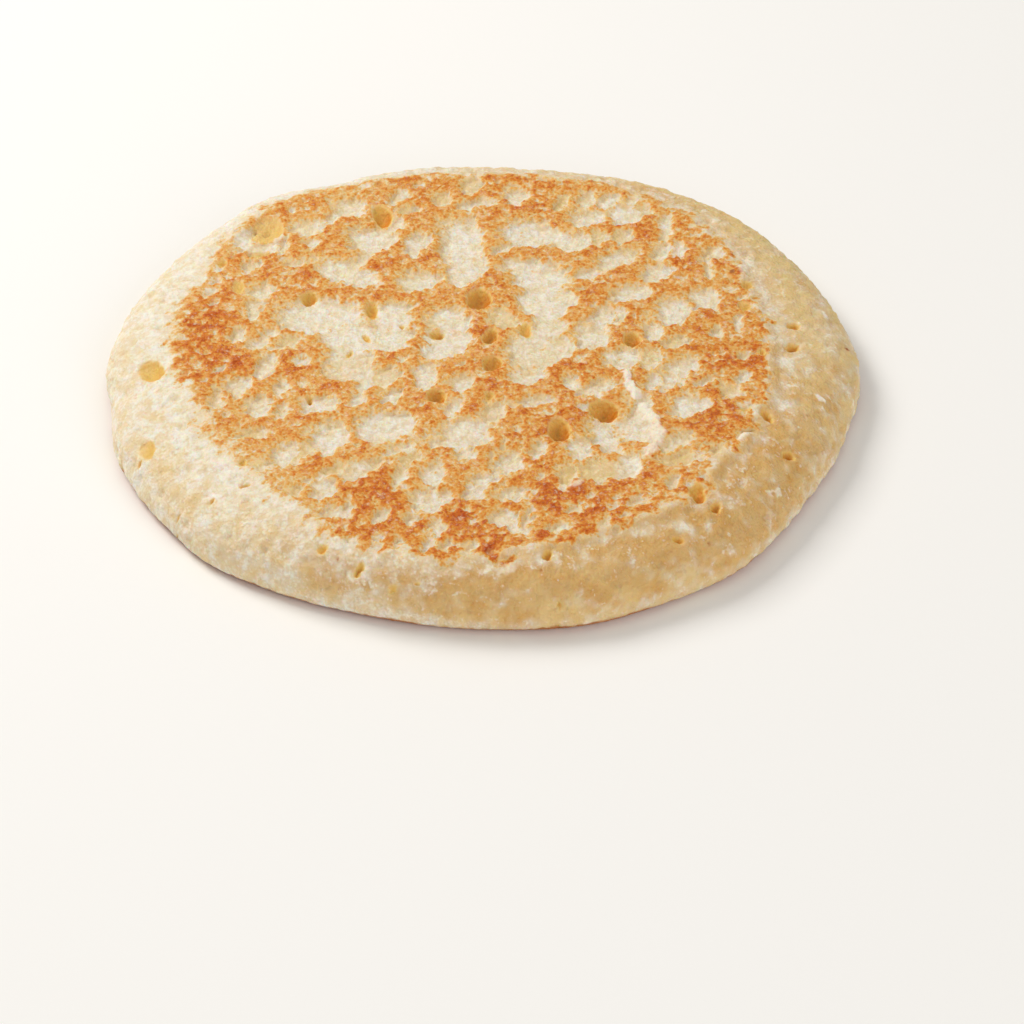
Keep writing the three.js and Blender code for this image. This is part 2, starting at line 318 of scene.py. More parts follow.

# %% [markdown]
# The pale islands are hollows. Steam under the setting batter kept them off the griddle, so
# they stayed pale and lie lower than the brown lace round them. The large ones are listed one by
# one, each an ellipse, and a few together make a shape that is none. Some kept a yellow tint
# because they only just missed the heat.

# %% Hollows listed one by one
# x, y, half width, half length, turn in degrees, yellow tint 0 to 1
HOLLOWS = [
    # far left
    (-17.3, 28.8, 4.1, 3.7, 0, 0), (-10.5, 27.4, 2.1, 2.8, 0, 0), (-20.6, 36.8, 3, 2.9, 0, 0.3),
    (-23.2, 33.8, 0.9, 1.9, -30, 0), (-27.2, 31.8, 3, 2, 0, 0.3), (-13.5, 39.2, 1.2, 1.5, 0, 0.4),
    (-13.3, 32.8, 1.2, 1.7, 0, 0), (-21.5, 20.9, 6.2, 2.7, -35, 0), (-35, 22.4, 1.4, 1.7, 0, 0.2),
    (-28.5, 23, 1.6, 1.2, 0, 0.4), (-33.6, 16, 2.5, 1.6, 0, 0.2), (-34.2, 12.6, 1.4, 2.5, 0, 0.3),
    (-18.3, 23.8, 1.4, 1.7, 0, 0), (-26.6, 27.6, 1.1, 0.9, 0, 0.2), (-30.2, 27.2, 0.7, 2.2, 0, 0),
    (-36.4, 29, 1.4, 3, 20, 0), (-31.5, 5.9, 1.7, 1.4, 0, 0), (-36.5, 5.4, 1.2, 1.8, 0, 0.2),
    # the widest one, from the far left to the middle, and two at the far left edge
    (-25, 10.4, 6.8, 4.3, -5, 0), (-22.5, 15, 1.7, 2.4, 0, 0), (-19.4, 5, 5.6, 4, 0, 0),
    (-20.6, -1.2, 3.9, 4.6, 10, 0.4), (-17.6, -4.2, 1.6, 3.8, 0, 0), (-13.8, 9.8, 4.1, 3.8, 0, 0.1),
    (-13.2, 4.6, 3.7, 3.3, 0, 0), (-5.3, 9.2, 3.9, 2.9, 0, 0.1), (-6.3, 3.4, 4.2, 3.9, 0, 0.1),
    (-28.8, 3.8, 2.1, 1.4, 20, 0.5), (-36.2, 29.4, 2, 3, 20, 0), (-34.6, 26.8, 3.2, 1.3, 0, 0.3),
    # far middle
    (-4, 28.4, 3.6, 6.2, 0, 0), (-3, 22, 3, 3.2, 0, 0), (-3.8, 19.2, 2.7, 2.8, 0, 0),
    (-10, 18.3, 3.3, 2.7, 0, 0.1), (-2, 37.3, 2.8, 1.5, 0, 0), (4.5, 39.4, 2.4, 2.1, 0, 0),
    (-6.5, 38.8, 1.1, 1.7, 0, 0.6), (-2.6, 42, 2, 1.9, 0, 0.6), (-11.8, 35.6, 1.4, 1.2, 0, 0.7),
    (6.2, 30.4, 4.7, 3.8, -12, 0), (12.2, 28, 3.7, 2.9, 0, 0), (3.8, 25.8, 3.4, 2.2, 0, 0),
    (4.8, 21.8, 3.6, 2.3, 0, 0), (8.2, 19, 4.4, 4.2, 0, 0), (8.6, 13, 4.8, 5, 0, 0),
    (8.8, 6.4, 3, 3.4, 0, 0.1), (7.4, 1.2, 5.2, 5, 0, 0.3), (5.2, -5.2, 3.1, 1.9, 0, 0.2),
    (2.6, 9, 2.9, 3.2, 0, 0.6), (14.6, 19.3, 2.3, 1.6, 0, 0), (14.7, 33.7, 2.7, 2, 0, 0),
    # far right
    (20.6, 35, 2.8, 2.9, 0, 0), (18.2, 38.4, 1.7, 2.1, 0, 0), (22.2, 38.5, 1.3, 1.3, 0, 0),
    (15, 38.6, 1.5, 2.5, 0, 0.3), (11.5, 37.6, 1.2, 1.9, 0, 0.7), (17, 28.8, 1.7, 1.7, 0, 0.5),
    (20, 29, 1.2, 1.5, 0, 0.5), (19.6, 23.4, 3.7, 2.1, 35, 0), (24.9, 19.7, 2.2, 2.6, 0, 0),
    (20.8, 14.8, 3, 2.4, 0, 0), (27.3, 12, 2.3, 1.8, 0, 0), (27, 9.8, 3.1, 2.6, 0, 0),
    (24.1, 6, 1.2, 2.4, 0, 0), (31.7, 13.8, 2.1, 2.7, 0, 0), (17.3, 9.4, 2.9, 2.7, 0, 0.1),
    (26, 25.4, 1.2, 2.1, 0, 0.3), (28.6, 26, 1.1, 2.2, 0, 0), (24, 36.4, 1.1, 1.6, 0, 0.5),
    (26.6, 32.8, 0.9, 1.9, 15, 0), (26.8, 29.6, 0.8, 1.7, 10, 0), (33, 20.8, 0.8, 1.8, 10, 0.2),
    (33.6, 24.6, 1.6, 1.8, 0, 0.2), (33.4, 6, 0.8, 1.3, 0, 0.3), (36.8, 8, 0.6, 2, 15, 0),
    # middle and right
    (15.1, 4.6, 2.5, 3.8, 0, 0), (19.7, -0.8, 2.7, 2.7, 0, 0), (28, -3, 3.2, 2.4, 0, 0),
    (26.5, -6, 1.9, 1.9, 0, 0), (27.4, 3.2, 2.2, 1.5, 0, 0.5), (23.7, -0.8, 1.6, 2.6, 0, 0.5),
    (28.6, -11.6, 2.8, 3.1, 0, 0), (32.3, -5.6, 2.2, 0.9, 40, 0), (36.8, -5.4, 1.2, 1.9, 0, 0),
    (35.1, -8.2, 1.7, 1.5, 0, 0.5), (37, -0.2, 1.1, 1.2, 0, 0.4), (23.7, -6, 0.9, 2, 0, 0.2),
    (15.4, -7.7, 2.9, 1.3, 10, 0.1), (11.8, -6.4, 1.3, 1.8, 0, 0), (6.6, -11.1, 2.8, 1.4, 0, 0),
    (1, -12.8, 2, 2.8, 0, 0.4), (-3.4, -6.4, 1.9, 2.2, 0, 0), (-5, -11.9, 1.2, 1.8, 0, 0.2),
    # left
    (-15, -4.4, 2.6, 2.4, 0, 0.5), (-8.8, -4.3, 2.2, 3.6, 0, 0), (-36, -6.5, 2, 2.2, 20, 0.1),
    (-33.5, 2.9, 1.8, 1.6, 0, 0), (-32.2, -1.5, 1.6, 2.7, 0, 0.1), (-29.4, -6.4, 1.1, 2.3, 0, 0),
    (-33, -11.2, 2, 2.7, 0, 0.1), (-24.4, -10.8, 2.9, 2.3, 0, 0), (-29.2, -12, 1.1, 1.8, 0, 0.1),
    (-38.6, -9.5, 1.1, 2.2, 0, 0.2), (-18.7, -10, 1.5, 1.9, 0, 0), (-13.7, -9.2, 1.6, 1.7, 0, 0),
    # near left
    (-3.2, -16.8, 4, 2.6, 0, 0), (-5.4, -19.8, 5.2, 1.5, 0, 0), (-14.6, -16.1, 4.6, 4.2, 0, 0),
    (-22.6, -18.3, 2.8, 4.6, -5, 0), (-28.6, -22.1, 1.9, 2.7, 0, 0), (-26.2, -21.5, 1.2, 2.4, 0, 0.8),
    (-17.6, -26, 4.2, 2, 38, 0.2), (-23, -30.4, 2.3, 2.3, 0, 0), (-12.2, -27.4, 1.2, 2.3, 0, 0.2),
    (-11, -23.8, 1.7, 1.8, 0, 0.7), (-7.6, -26.9, 2.1, 2.7, 0, 0), (-21, -26, 2.4, 1.2, 40, 0.7),
    (-8, -32, 1.2, 2.8, 10, 0), (-9.9, -32.4, 1.1, 2.2, 0, 0.3), (-21.8, -35.6, 2.2, 1.6, 0, 0.1),
    (-26.6, -30.6, 1.3, 2.2, 0, 0.7), (-19.4, -34.4, 1, 2.2, 0, 0.2), (-13, -21.4, 1.8, 1.2, 0, 0.3),
    (-33.5, -17.6, 2.2, 1.3, 0, 0.6), (-32, -25, 2, 1.4, 0, 0.7),
    # near middle
    (-3.1, -22.3, 1.4, 2, 0, 0), (3, -24.2, 2.5, 3.2, 0, 0.1), (-1, -28.2, 2.5, 1.5, 0, 0),
    (-1.8, -30.8, 1.6, 1.6, 0, 0), (3.4, -31.3, 2.8, 1.6, 0, 0.2), (1.6, -36, 1.5, 1.9, 0, 0.3),
    (3.4, -38, 0.8, 1.8, 20, 0), (5.5, -36.6, 0.9, 2.8, 0, 0.3), (-6, -32.2, 1.1, 1.4, 0, 0.1),
    (-7, -37.9, 1.2, 2, 0, 0.1), (-10.6, -36.8, 1.2, 1.2, 0, 0.3), (7.2, -21.2, 0.9, 1.8, 0, 0.4),
    (-14.6, -35.6, 1, 1.5, 0, 0.3), (-8.4, -42, 0.8, 1.6, 0, 0.1), (-2.4, -43, 0.8, 1.2, 0, 0.2),
    (11.2, -27, 1.7, 3.2, 0, 1), (12, -34.6, 1.1, 1.1, 0, 0.5), (9.4, -38.4, 1.8, 0.7, 0, 0.5),
    (-12.3, -42, 0.8, 1.3, 0, 0.3), (-5.6, -42.4, 0.7, 1.2, 0, 0.1), (16.4, -37.6, 1, 1.2, 0, 0.4),
    # the torn hollow and what lies round it
    (19, -17.6, 5.2, 4.8, 0, 0.1), (21.7, -12, 2.1, 3.4, 0, 0.1), (20.3, -24.2, 2, 3.6, 0, 0),
    (15.6, -25.7, 3, 2.7, 0, 0.7), (12.9, -21, 2.3, 2.5, 0, 0.1), (27.1, -19.6, 2.7, 2, 0, 0.3),
    (27, -23.6, 2.9, 1.5, 0, 0.8), (32.5, -22.8, 1.6, 2.2, 0, 0.5), (36.5, -18.3, 0.9, 1.5, 20, 0.3),
    (26, -28.6, 1.2, 1.6, 0, 0.4), (21, -32.6, 1, 1.3, 0, 0.5), (18.6, -27.4, 1.5, 1.2, 0, 0.1),
]
print(len(HOLLOWS), "hollows, the longest", 2 * max(max(row[2:4]) for row in HOLLOWS), "mm")

# %% [markdown]
# Here and there a thin film was left standing across a hollow and browned on top. And a griddle
# is never evenly hot, so some places browned more and some less.

# %% Films between hollows, and hotter and cooler places
# points along each film, x and y
WALLS = [
    [(-0.8, 11.2), (-0.9, 5), (-1.3, 0), (-1.2, -4)],
    [(3.6, 13.8), (4.7, 10.5), (6.1, 8.2)],
    [(-9.6, 3.6), (-10.4, 0.8), (-10, -2)],
    [(-9.6, 14), (-9.3, 10)],
    [(-24.6, 16.4), (-19.5, 14)],
    [(1.2, 23.4), (5.5, 24.6), (8, 25.2), (13.4, 23.4)],
    [(20.4, -19.6), (22.4, -21.8)],
    [(2.2, -3), (2.6, -5.6)],
]
WALL_HALF_WIDTH = 0.55
# x, y, radius, how much more heat than the rest, or less
HEAT_SPOTS = [
    (-41.5, 7, 5, 1.2), (-37.5, 25.5, 3, 0.7), (-27.5, 19.5, 4, 0.5), (-39, -2, 5, 0.8),
    (-28.5, -3, 3, 0.9), (-16, -30, 4, 1.3), (-14.5, -38, 6, 0.9), (-2, -41, 6, 1),
    (-2.6, -36, 3, 0.7), (9, -32.5, 3, 1.4), (15.5, -34, 7, 1), (33.5, -2, 3, 1.4), (38, -2.5, 3, 0.9),
    (32.5, 9, 1.5, 1), (33, -15, 5, 1.2), (29, 22.5, 3, 1), (22, 30, 4, 0.6), (7, 25, 1.5, 0.6),
    (-8, 41, 6, 0.3), (7, 43, 6, 0.4), (12, -3.5, 4, 0.7), (9, -19, 3, 0.6), (-23.5, -26.5, 3, 0.5),
    (7.5, -25.5, 2, 0.7), (1.5, -6.5, 3, 0.6), (-27, 27, 4, 0.3), (-36, -26, 8, -0.6),
    (-29, -33, 6, -0.5), (-42, -14, 6, -0.4), (-20, 40, 5, -0.4), (-13, 36, 3, -0.3),
    (24, 26, 3, -0.3), (22, -38, 5, -0.3), (30, 16, 3, -0.2), (30, -24, 4, -0.4), (-40, 18, 4, -0.2),
    (3, 16.5, 2, 0.2),
]


def heat_of(px, py):
    return sum(strength * gaussian(np.hypot(px - hx, py - hy), radius)
               for hx, hy, radius, strength in HEAT_SPOTS)


heat_here = heat_of(x, y)
print(len(WALLS), "films, heat from", heat_here.min().round(2), "to", heat_here.max().round(2))

# %% [markdown]
# A hollow isn't the same all round: its near right wall is steep, and its far left one eases
# down. That far wall faces away from the light and gets a little painted golden shade. So how deep
# in a point counts is its distance from the edge times a factor that changes from one side to the
# other, and the edge itself stays where it is.

# %% Shape of a hollow
NEAR_WALL = 1.8  # how deep in a point 1 mm from the edge counts on the near side
FAR_WALL = 0.4


def inside_ellipse(px, py, place_x, place_y, half_width, half_length, turn, power=2.0):
    """How far inside an ellipse points are, in mm; negative outside it. A power under 2
    draws its ends out to points."""
    c, s = math.cos(math.radians(turn)), math.sin(math.radians(turn))
    along = np.abs((px - place_x) * c + (py - place_y) * s) / half_width
    across = np.abs((py - place_y) * c - (px - place_x) * s) / half_length
    return (1 - (along ** power + across ** power) ** (1 / power)) * min(half_width, half_length)


def far_side(px, py, place_x, place_y, half_width, half_length):
    """0 on the near right side of a hollow, 1 on its far left side."""
    farther = 0.6 * (py - place_y) / half_length - 0.65 * (px - place_x) / half_width
    return smooth(-0.7, 0.6, farther)


def lean(inside, far):
    """Eases the far wall of a hollow and steepens the near one, keeping its edge where it is."""
    return np.where(inside > 0, inside * (NEAR_WALL + (FAR_WALL - NEAR_WALL) * far), inside)


def painted_wall_shade(inside, far):
    """Painted golden shade on the far wall: most at the edge, gone at the bottom."""
    return far * smooth(0, 0.5, inside) * smooth(2.8, 1.2, inside)


def distance_to_line(px, py, line):
    """Distance from points to a bent line."""
    best = np.full(len(px), np.inf)
    for (ax, ay), (bx, by) in zip(line[:-1], line[1:]):
        reach = ((px - ax) * (bx - ax) + (py - ay) * (by - ay)) / ((bx - ax) ** 2 + (by - ay) ** 2)
        reach = np.clip(reach, 0, 1)
        best = np.minimum(best, np.hypot(px - ax - reach * (bx - ax), py - ay - reach * (by - ay)))
    return best


print("1 mm inside counts as", lean(1, 0), "mm near and", lean(1, 1).round(2), "mm far")

# %% [markdown]
# Now the large hollows are laid, and where they overlap a point goes by the one it is deepest
# in. Each edge is read at a shaken place, so no ellipse shows as an ellipse. The films go in
# last: a point near one counts as no deeper in than its distance from it.

# %% Lay the large hollows
FAR_OUTSIDE = -9.0  # what every point counts as before the first hollow
HOLLOW_GROWTH = 0.75  # the shaking eats into the hollows, and this gives it back
LEAF = 1.7  # power of the ellipses, under 2 for pointed ends
# how far, how large the lumps are, and the seeds of the shaking along x and along y
SHAKES = [(0.7, 4.5, 2, 4), (0.55, 1.7, 3, 5), (0.3, 0.9, 25, 26)]

shake_x = sum(reach * lumps(top, size, seed) for reach, size, seed, _ in SHAKES)
shake_y = sum(reach * lumps(top, size, seed) for reach, size, _, seed in SHAKES)
shaken_x, shaken_y = x + shake_x, y + shake_y

large_hollow = np.full(len(top), FAR_OUTSIDE)
yellow_and_shade = np.zeros(len(top))
wall_shade = np.zeros(len(top))
for hx, hy, half_width, half_length, turn, tint in HOLLOWS:
    inside = inside_ellipse(shaken_x, shaken_y, hx, hy, half_width, half_length, turn, LEAF)
    inside += HOLLOW_GROWTH
    far = far_side(x, y, hx, hy, half_width, half_length)
    deep_in = lean(inside, far)
    deeper = deep_in > large_hollow
    yellow_and_shade = np.where(deeper, tint * smooth(0, 1.5, inside), yellow_and_shade)
    # painted shade: a golden tint on the far wall, which faces away from the light
    wall_shade = np.where(deeper, painted_wall_shade(inside, far), wall_shade)
    large_hollow = np.maximum(large_hollow, deep_in)
for wall in WALLS:
    from_film = distance_to_line(shaken_x, shaken_y, wall) - WALL_HALF_WIDTH
    large_hollow = np.minimum(large_hollow, from_film)
large_hollow += (0.35 * lace_strands + 0.5 * lumps(top, 1.3, 30)) * gaussian(large_hollow, 1.5)
print("large hollows cover", round(100 * np.mean(large_hollow > 0)), "% of the upper points")

# %% [markdown]
# Between the large hollows lies a froth of small ones, a millimetre or two across, with thin
# brown walls between them. They are thrown like darts from a seeded generator: a dart is kept
# where it doesn't crowd the others. Two that touch are parted by a wall where both are equally
# near, which is how the films in a real froth stand.

# %% Froth of small hollows
FROTH_DARTS = 12000
FROTH_REACH = 48  # the darts land in a square that reaches this far from the middle
FROTH_WALL = 0.2
FROTH_SHAKE = 0.7  # share of the large hollows' shaking
random = np.random.default_rng(31)


def throw_froth():
    """Places, sizes and steepness of small hollows, none crowding another. They are smaller
    and fewer where it was hot."""
    places = random.uniform(-FROTH_REACH, FROTH_REACH, (FROTH_DARTS, 2))
    heat = heat_of(*places.T)
    sizes = (0.55 + 1.0 * random.random(FROTH_DARTS) ** 1.4) * (1 - 0.3 * np.clip(heat, 0, 1))
    room = face_radius(np.arctan2(places[:, 1], places[:, 0])) + 0.5 - np.hypot(*places.T)
    wanted = (room > 0) & (random.random(FROTH_DARTS) > 0.4 * heat)
    kept = []
    for dart in np.flatnonzero(wanted):
        apart = np.hypot(*(places[kept] - places[dart]).T)
        if not np.any(apart < 0.9 * (sizes[kept] + sizes[dart])):
            kept.append(dart)
    return places[kept], sizes[kept], random.uniform(0.9, 2.6, len(kept))


froth_places, froth_sizes, froth_steepness = throw_froth()
froth_x, froth_y = x + FROTH_SHAKE * shake_x, y + FROTH_SHAKE * shake_y
nearest = np.full(len(top), FAR_OUTSIDE)
second = np.full(len(top), FAR_OUTSIDE)
for place, size, steepness in zip(froth_places, froth_sizes, froth_steepness):
    near = np.flatnonzero(np.hypot(x - place[0], y - place[1]) < 3 * size + 1.5)
    stretch = random.uniform(1.0, 1.9)
    turn = LEFT_TURN + (RIGHT_TURN - LEFT_TURN) * rightward(*place) + random.uniform(-20, 20)
    inside = inside_ellipse(froth_x[near], froth_y[near], *place, size * stretch, size, turn, LEAF)
    inside = lean(inside, far_side(x[near], y[near], *place, size * stretch, size))
    inside = np.where(inside > 0, inside * steepness, inside)
    second[near] = np.maximum(second[near], np.minimum(inside, nearest[near]))
    nearest[near] = np.maximum(nearest[near], inside)
froth_hollow = np.minimum(nearest + 0.25 * lace_strands, (nearest - second - FROTH_WALL) / 2)
froth_hollow = np.minimum(froth_hollow, -large_hollow - FROTH_WALL)
hollow = np.maximum(large_hollow, froth_hollow)
print(len(froth_places), "small hollows")

# %% [markdown]
# The browned face fades out at its own edge, raggedly. A single number then says how hard each
# point was heated: how far it is, in millimetres, from the nearest pale thing, be it a hollow
# or the edge of the face. At zero batter is golden, and a millimetre into a hollow it is cream.

# %% Heat on the upper side
# where the brown fades out slowly, or ends sharply: direction, half width, how much softer
SOFTER_EDGES = [(212, 22, 0.3), (160, 20, 0.1), (40, 20, 0.15), (0, 28, -0.35), (268, 30, -0.25)]
OUTER_FALL = 1.6  # how much faster the heat falls once outside the face
MOST_HEAT = 0.8  # what the middle of a wide brown patch reaches, before the hot places

in_face = face_radius(top_angle) - np.hypot(x, y)
ragged = 1.3 * lumps(top, 6, 6) + 0.8 * lumps(top, 2.2, 7)
edge_slope = 0.55 - swell_sum(top_angle, SOFTER_EDGES)
edge_heat = (in_face + ragged + 0.8 * lace_strands) * edge_slope
edge_heat = np.where(edge_heat < 0, OUTER_FALL * edge_heat, edge_heat)
lace_grain = lumps(top, 0.9, 8)
palest = -1.7 - 0.9 * lumps(top, 2.8, 27)  # hollows differ in how pale they stayed
heat = np.minimum(np.minimum(np.maximum(-hollow, palest), edge_heat), MOST_HEAT)
heat += (0.45 * heat_here + 0.2 * lace_grain + 0.25 * lace_strands) * smooth(-0.6, 0.2, -hollow)
print("at least golden:", round(100 * np.mean(heat[in_face > 0] > 0)), "% of the face")

# %% [markdown]
# Burst bubbles left open pits, the deepest things on the pancake. Each is an ellipse pushed down
# with a round bottom, steepest on the near right. Its colour is painted shade, darkest on the
# near right: the narrower and deeper it is, the darker, as less light gets out of it.

# %% Pits
PIT_SHAKE = 0.25
# x, y, half width, half length, turn in degrees, depth
PITS = [
    (-32.4, 30.8, 2.6, 3.3, -15, 1), (-33.6, 25.1, 2.2, 1.1, 0, 0.5), (-15.3, 34, 1.5, 2.8, 10, 1.7),
    (-26, 14.2, 1.2, 1.5, -20, 1.1), (-16.5, 11, 1, 2, 0, 1), (-0.8, 13.2, 1.9, 2.7, 0, 2.4),
    (0.7, 4, 1.2, 2, -10, 1.7), (1.1, -2.5, 1.5, 1.9, 0, 1.7), (6, 5.6, 1, 1.5, 0, 1),
    (-7, 5.2, 1.2, 0.8, 0, 1), (-7, -9.8, 1.5, 1.8, 10, 2), (21.4, 3.2, 1.3, 1.9, 10, 1.6),
    (10.5, -17.6, 1.8, 2.7, 5, 2.4), (16.9, -12.6, 2.3, 2.1, -35, 2.5),
    (29.7, -31.4, 1.2, 1.9, 0, 1.8), (-48.2, -2.4, 1.9, 2.9, 28, 1.2), (-48.1, -18.3, 1.2, 2, 20, 0.6),
    # small ones
    (44.7, 2.7, 1, 1.2, 0, 1.5), (45, 7.8, 1.1, 0.8, 0, 1.1), (44.6, -4.2, 0.4, 0.4, 0, 0.5),
    (43, -21, 1.1, 0.9, 30, 1.2), (40.3, -14, 0.8, 1.4, 25, 1.3), (32.1, -33.6, 0.8, 1.2, 0, 1.5),
    (38.6, 16.5, 0.9, 1.3, 0, 0.8), (38.3, 11.4, 1.1, 1.2, 0, 0.8), (40.1, 0.5, 0.5, 1, 0, 0.6),
    (37, -12.8, 0.9, 0.9, 0, 0.6), (26.6, -40, 0.9, 0.6, 0, 0.9), (-34.2, -24.6, 0.6, 1, 0, 0.6),
    (-33.8, -29.4, 0.8, 0.6, 0, 0.9), (-38.2, -31.1, 0.5, 0.35, 40, 0.6),
    (-43.2, -30.6, 0.4, 0.25, 40, 0.4), (-49.2, -20, 0.4, 0.6, 0, 0.5),
    (-17.4, -45.8, 0.9, 0.6, 10, 0.9), (-22.5, -42.5, 0.8, 0.6, 0, 0.7),
    (-12.8, -48.2, 0.6, 0.25, 0, 0.4), (-9.4, -48.1, 0.5, 0.2, 0, 0.4), (8.5, -44.2, 0.7, 0.9, 0, 0.8),
    (10.2, -50.3, 0.4, 0.4, 0, 0.6), (-25, -10, 0.5, 1, 0, 0.8), (-39, 22.8, 0.9, 1, 0, 0.7),
    (-36.4, 16.8, 1, 2, 0, 0.6), (0.7, -9.8, 0.8, 1, 0, 0.8), (-19.6, 1, 0.4, 1.3, -15, 0.5),
    (-17.3, 4.8, 0.4, 1.2, 20, 0.5), (-12, 7.4, 0.5, 0.5, 0, 0.5),
]

pit_drop = np.zeros(len(top))
pit_painted_shade = np.zeros(len(top))
pit_x, pit_y = x + PIT_SHAKE * shake_x, y + PIT_SHAKE * shake_y
for px, py, half_width, half_length, turn, depth in PITS:
    inside = inside_ellipse(pit_x, pit_y, px, py, half_width, half_length, turn)
    near_side = 1 - far_side(x, y, px, py, half_width, half_length)
    share = np.clip(inside / min(half_width, half_length), 0, 1)
    pit_drop = np.maximum(pit_drop, depth * (1 - (1 - share) ** (1.8 + near_side)))
    # painted shade in the pit: darker the narrower and deeper it is, and on the near side
    painted_darkness = min(1, 0.3 + 0.6 * depth / min(half_width, half_length))
    shade = smooth(-0.25, 0.4, inside) * painted_darkness * (0.7 + 0.36 * near_side)
    pit_painted_shade = np.maximum(pit_painted_shade, shade)
print(len(PITS), "pits, the deepest", pit_drop.max().round(1), "mm")

# %% [markdown]
# One place on the right was torn when the pancake was lifted: a smooth shallow hollow with a
# curled white ridge along it. Smaller bits of skin curled up or dried white elsewhere. Their white
# is partly pale crumb and partly a painted highlight on the lit side of the raised skin. Each is a
# short bent line with a rounded rise along it.

# %% Torn and dried skin
# half width, rise, whiteness (pale crumb and painted highlight), points along it
CRESTS = [
    (0.8, 0.55, 0.8, [(19.9, -5), (20.6, -7.5), (21.8, -9.8)]),
    (1.0, 0.5, 0.65, [(22.3, -12), (24.1, -15), (24.7, -18), (24.3, -21), (23, -22.4)]),
    (0.5, 0.2, 0.5, [(10.4, -30.4), (12.4, -30.2), (14, -29.4)]),
    (0.6, 0.25, 0.6, [(21.6, -24), (22, -26.2), (20.6, -28.2)]),
    (0.4, 0.2, 0.6, [(-31, 27), (-30.6, 29)]),
    (0.35, 0.35, 0.6, [(39.9, -28.9), (41.2, -27.8)]),
    (0.35, 0.1, 0.35, [(39.3, -32.3), (40.6, -31)]),
    (0.4, 0.2, 0.7, [(36.2, -20), (37, -18.4)]),
    (0.5, 0.25, 0.9, [(48.2, -8.4), (48.3, -7.6)]),
    (0.45, 0.2, 0.8, [(49.8, 11.8), (50, 12.6)]),
    (0.5, 0.1, 0.4, [(1.9, -47.2), (3.6, -46.4)]),
    (0.9, 0.35, 0.5, [(38.5, 19.6), (38.6, 20.6)]),
]
CREST_SHAKE = 0.6

crest_white_and_highlight = np.zeros(len(top))
crest_rise = np.zeros(len(top))
crest_x, crest_y = x + CREST_SHAKE * shake_x, y + CREST_SHAKE * shake_y
ridge_wear = 0.95 + 0.1 * lumps(top, 2.4, 21)
for half_width, rise, whiteness, line in CRESTS:
    strength = gaussian(distance_to_line(crest_x, crest_y, line), half_width) * ridge_wear
    # white of the ridges: pale crumb and a painted highlight on the lit skin
    crest_white_and_highlight = np.maximum(crest_white_and_highlight, whiteness * smooth(0.25, 0.65, strength))
    crest_rise = np.maximum(crest_rise, rise * strength)
print(len(CRESTS), "ridges, the highest", crest_rise.max().round(2), "mm")

# %% [markdown]
# The side never touched the griddle, and its dry crumb is full of fine pores. The seeded
# generator picks points of the side for them. Most are small and a few large, which a high power
# of an even random number gives.

# %% Pores in the side
PORES = 1900
SMALLEST_PORE = 0.22
PORE_SPREAD = 0.65  # how much larger the largest is
PORE_POWER = 6

pores = np.zeros(len(top))
side_points = np.flatnonzero((in_face < 2) & (z > 1.5))
for middle in random.choice(side_points, PORES):
    size = SMALLEST_PORE + PORE_SPREAD * random.random() ** PORE_POWER
    gap = top[side_points] - top[middle]
    near = side_points[(np.abs(gap) < 1.6).all(1)]
    distance = np.linalg.norm(top[near] - top[middle], axis=1)
    pore = 0.45 * size * (1 - smooth(0.4 * size, 1.3 * size, distance))
    pores[near] = np.maximum(pores[near], pore)
print(PORES, "pores, the deepest", pores.max().round(2), "mm")

# %% [markdown]
# Now the relief itself. Hollows sink by up to 0.7 mm with a sloping wall, and the lace stays up
# and is grainy. The points move along the surface's own normal, except in the pits of the face,
# which go straight down, as the steam came straight up.

# %% Relief of the upper side
HOLLOW_DEPTH = 0.7
GRAIN_HEIGHT = 0.1

for vertex, place in zip(bm.verts, base.tolist()):
    vertex.co = Vector(place)
bm.normal_update()
normals = np.array([v.normal[:] for v in bm.verts])

sunk = HOLLOW_DEPTH * smooth(-0.1, 1.6, hollow) * smooth(-0.8, 1.0, edge_heat)
browned = smooth(0.0, 0.5, heat)
grain = GRAIN_HEIGHT * lace_grain * (0.35 + 0.65 * browned)
uneven = 0.06 * lumps(top, 6, 9) + 0.04 * lumps(top, 2, 10) + 0.03 * lumps(top, 1, 20)
crumb = 0.6 * lumps(top, 1.4, 11) + 0.5 * lumps(top, 0.8, 22)
floor_crumb = (0.13 * crumb + 0.12 * lumps(top, 2.2, 19)) * smooth(0.2, 1.2, hollow)
floor_crumb += (0.1 * crumb + 0.14 * lumps(top, 2.8, 19)) * smooth(0.5, -1.5, in_face)

lift = uneven + grain + floor_crumb - sunk - pores + crest_rise
shape = base.copy()
shape[on_top] += normals[on_top] * (lift * smooth(0.2, 1.5, z))[:, None]
on_side = smooth(-2, -7, in_face)[:, None]
shape[on_top] -= pit_drop[:, None] * (on_side * normals[on_top] + (1 - on_side) * [0, 0, 1])
shape[:, 2] = np.maximum(shape[:, 2], 0)
print("relief from", lift.min().round(2), "to", lift.max().round(2), "mm")

# %% [markdown]
# The underside cooked first, flat on the griddle, so it is browned nearly all over, with paler
# freckles where steam was caught, and there it is a little hollow. Its heat is written with the
# same meaning as on top, so one material can finish both.

# %% Heat on the lower side
UNDER_HEAT = 1.15
FRECKLE_RISE = 0.12
SOLE_RIM = 0.97  # it lies flat from this share of its radius out

